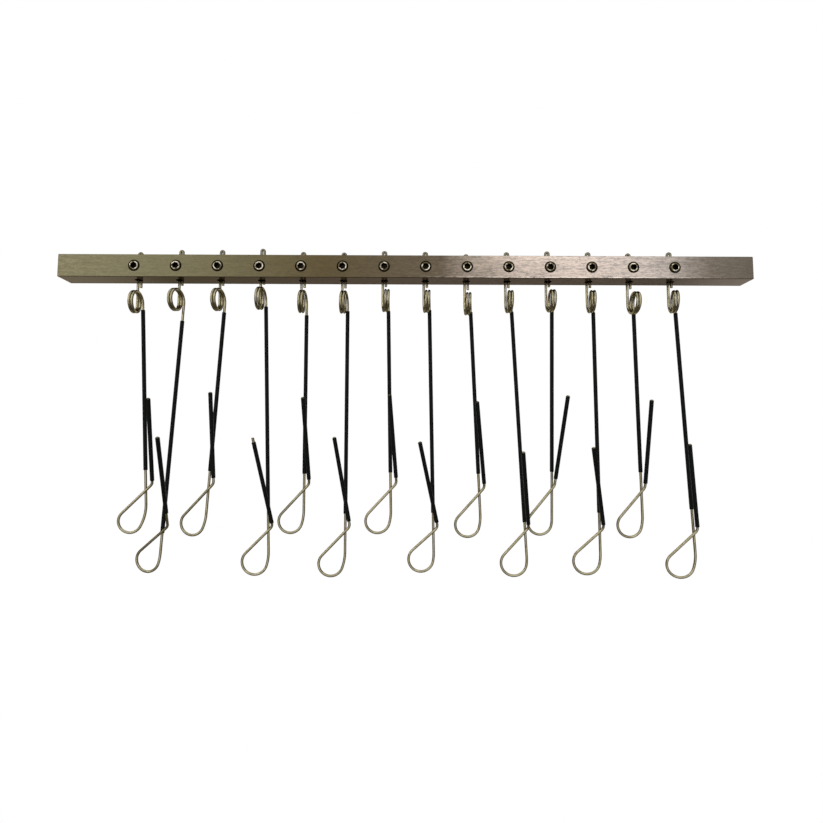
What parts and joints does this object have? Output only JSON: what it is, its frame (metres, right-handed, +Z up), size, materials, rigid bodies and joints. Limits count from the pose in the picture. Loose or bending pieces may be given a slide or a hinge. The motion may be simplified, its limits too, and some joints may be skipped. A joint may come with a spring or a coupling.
{
  "type": "instrument rack",
  "caption": "Square metal bar with a row of sprung wire hooks hanging below it, each held by a set screw, for keeping instruments in order.",
  "frame": {"origin": "centre of the bar's back face", "axes": "+X along the bar to the right, +Y out of the bar's back face, +Z up; the hooks hang towards -Z"},
  "size_m": [0.485, 0.0476, 0.2314],
  "materials": {
    "bar_metal": "brushed along its length, slightly bronze",
    "spring_wire": "drawn spring wire, smooth",
    "black_sleeve": "satin black tube",
    "screw_steel": "turned and plated, dark thread"
  },
  "bodies": {
    "bar": {"bar": "bar_metal"},
    "hook_01": {"hook_wire_01": "spring_wire", "leg_sleeve_01": "black_sleeve", "tip_sleeve_01": "black_sleeve"},
    "screw_01": {"clamp_screw_01": "screw_steel"},
    "hook_02": {"hook_wire_02": "spring_wire", "leg_sleeve_02": "black_sleeve", "tip_sleeve_02": "black_sleeve"},
    "screw_02": {"clamp_screw_02": "screw_steel"},
    "hook_03": {"hook_wire_03": "spring_wire", "leg_sleeve_03": "black_sleeve", "tip_sleeve_03": "black_sleeve"},
    "screw_03": {"clamp_screw_03": "screw_steel"},
    "hook_04": {"hook_wire_04": "spring_wire", "leg_sleeve_04": "black_sleeve", "tip_sleeve_04": "black_sleeve"},
    "screw_04": {"clamp_screw_04": "screw_steel"},
    "hook_05": {"hook_wire_05": "spring_wire", "leg_sleeve_05": "black_sleeve", "tip_sleeve_05": "black_sleeve"},
    "screw_05": {"clamp_screw_05": "screw_steel"},
    "hook_06": {"hook_wire_06": "spring_wire", "leg_sleeve_06": "black_sleeve", "tip_sleeve_06": "black_sleeve"},
    "screw_06": {"clamp_screw_06": "screw_steel"},
    "hook_07": {"hook_wire_07": "spring_wire", "leg_sleeve_07": "black_sleeve", "tip_sleeve_07": "black_sleeve"},
    "screw_07": {"clamp_screw_07": "screw_steel"},
    "hook_08": {"hook_wire_08": "spring_wire", "leg_sleeve_08": "black_sleeve", "tip_sleeve_08": "black_sleeve"},
    "screw_08": {"clamp_screw_08": "screw_steel"},
    "hook_09": {"hook_wire_09": "spring_wire", "leg_sleeve_09": "black_sleeve", "tip_sleeve_09": "black_sleeve"},
    "screw_09": {"clamp_screw_09": "screw_steel"},
    "hook_10": {"hook_wire_10": "spring_wire", "leg_sleeve_10": "black_sleeve", "tip_sleeve_10": "black_sleeve"},
    "screw_10": {"clamp_screw_10": "screw_steel"},
    "hook_11": {"hook_wire_11": "spring_wire", "leg_sleeve_11": "black_sleeve", "tip_sleeve_11": "black_sleeve"},
    "screw_11": {"clamp_screw_11": "screw_steel"},
    "hook_12": {"hook_wire_12": "spring_wire", "leg_sleeve_12": "black_sleeve", "tip_sleeve_12": "black_sleeve"},
    "screw_12": {"clamp_screw_12": "screw_steel"},
    "hook_13": {"hook_wire_13": "spring_wire", "leg_sleeve_13": "black_sleeve", "tip_sleeve_13": "black_sleeve"},
    "screw_13": {"clamp_screw_13": "screw_steel"},
    "hook_14": {"hook_wire_14": "spring_wire", "leg_sleeve_14": "black_sleeve", "tip_sleeve_14": "black_sleeve"},
    "screw_14": {"clamp_screw_14": "screw_steel"}
  },
  "joints": [
    {"name": "hook_01_slide", "type": "slide", "parent": "bar", "child": "hook_01", "axis": [0, 0, 1], "range_m": [-0.0049, 0.0087]},
    {"name": "screw_01_turn", "type": "hinge", "parent": "bar", "child": "screw_01", "pos_m": [-0.1895, -0.016, 0], "axis": [0, -1, 0], "range_deg": [0, 360]},
    {"name": "hook_02_slide", "type": "slide", "parent": "bar", "child": "hook_02", "axis": [0, 0, 1], "range_m": [-0.0066, 0.007]},
    {"name": "screw_02_turn", "type": "hinge", "parent": "bar", "child": "screw_02", "pos_m": [-0.1605, -0.016, 0], "axis": [0, -1, 0], "range_deg": [0, 360]},
    {"name": "hook_03_slide", "type": "slide", "parent": "bar", "child": "hook_03", "axis": [0, 0, 1], "range_m": [-0.0067, 0.0069]},
    {"name": "screw_03_turn", "type": "hinge", "parent": "bar", "child": "screw_03", "pos_m": [-0.1315, -0.016, 0], "axis": [0, -1, 0], "range_deg": [0, 360]},
    {"name": "hook_04_slide", "type": "slide", "parent": "bar", "child": "hook_04", "axis": [0, 0, 1], "range_m": [-0.0077, 0.0059]},
    {"name": "screw_04_turn", "type": "hinge", "parent": "bar", "child": "screw_04", "pos_m": [-0.1025, -0.016, 0], "axis": [0, -1, 0], "range_deg": [0, 360]},
    {"name": "hook_05_slide", "type": "slide", "parent": "bar", "child": "hook_05", "axis": [0, 0, 1], "range_m": [-0.0055, 0.0081]},
    {"name": "screw_05_turn", "type": "hinge", "parent": "bar", "child": "screw_05", "pos_m": [-0.0735, -0.016, 0], "axis": [0, -1, 0], "range_deg": [0, 360]},
    {"name": "hook_06_slide", "type": "slide", "parent": "bar", "child": "hook_06", "axis": [0, 0, 1], "range_m": [-0.0052, 0.0084]},
    {"name": "screw_06_turn", "type": "hinge", "parent": "bar", "child": "screw_06", "pos_m": [-0.0445, -0.016, 0], "axis": [0, -1, 0], "range_deg": [0, 360]},
    {"name": "hook_07_slide", "type": "slide", "parent": "bar", "child": "hook_07", "axis": [0, 0, 1], "range_m": [-0.0064, 0.0072]},
    {"name": "screw_07_turn", "type": "hinge", "parent": "bar", "child": "screw_07", "pos_m": [-0.0155, -0.016, 0], "axis": [0, -1, 0], "range_deg": [0, 360]},
    {"name": "hook_08_slide", "type": "slide", "parent": "bar", "child": "hook_08", "axis": [0, 0, 1], "range_m": [-0.0059, 0.0077]},
    {"name": "screw_08_turn", "type": "hinge", "parent": "bar", "child": "screw_08", "pos_m": [0.0135, -0.016, 0], "axis": [0, -1, 0], "range_deg": [0, 360]},
    {"name": "hook_09_slide", "type": "slide", "parent": "bar", "child": "hook_09", "axis": [0, 0, 1], "range_m": [-0.0043, 0.0093]},
    {"name": "screw_09_turn", "type": "hinge", "parent": "bar", "child": "screw_09", "pos_m": [0.0425, -0.016, 0], "axis": [0, -1, 0], "range_deg": [0, 360]},
    {"name": "hook_10_slide", "type": "slide", "parent": "bar", "child": "hook_10", "axis": [0, 0, 1], "range_m": [-0.0059, 0.0077]},
    {"name": "screw_10_turn", "type": "hinge", "parent": "bar", "child": "screw_10", "pos_m": [0.0715, -0.016, 0], "axis": [0, -1, 0], "range_deg": [0, 360]},
    {"name": "hook_11_slide", "type": "slide", "parent": "bar", "child": "hook_11", "axis": [0, 0, 1], "range_m": [-0.0066, 0.007]},
    {"name": "screw_11_turn", "type": "hinge", "parent": "bar", "child": "screw_11", "pos_m": [0.1005, -0.016, 0], "axis": [0, -1, 0], "range_deg": [0, 360]},
    {"name": "hook_12_slide", "type": "slide", "parent": "bar", "child": "hook_12", "axis": [0, 0, 1], "range_m": [-0.0061, 0.0075]},
    {"name": "screw_12_turn", "type": "hinge", "parent": "bar", "child": "screw_12", "pos_m": [0.1295, -0.016, 0], "axis": [0, -1, 0], "range_deg": [0, 360]},
    {"name": "hook_13_slide", "type": "slide", "parent": "bar", "child": "hook_13", "axis": [0, 0, 1], "range_m": [-0.0054, 0.0082]},
    {"name": "screw_13_turn", "type": "hinge", "parent": "bar", "child": "screw_13", "pos_m": [0.1585, -0.016, 0], "axis": [0, -1, 0], "range_deg": [0, 360]},
    {"name": "hook_14_slide", "type": "slide", "parent": "bar", "child": "hook_14", "axis": [0, 0, 1], "range_m": [-0.0063, 0.0073]},
    {"name": "screw_14_turn", "type": "hinge", "parent": "bar", "child": "screw_14", "pos_m": [0.1875, -0.016, 0], "axis": [0, -1, 0], "range_deg": [0, 360]}
  ]
}
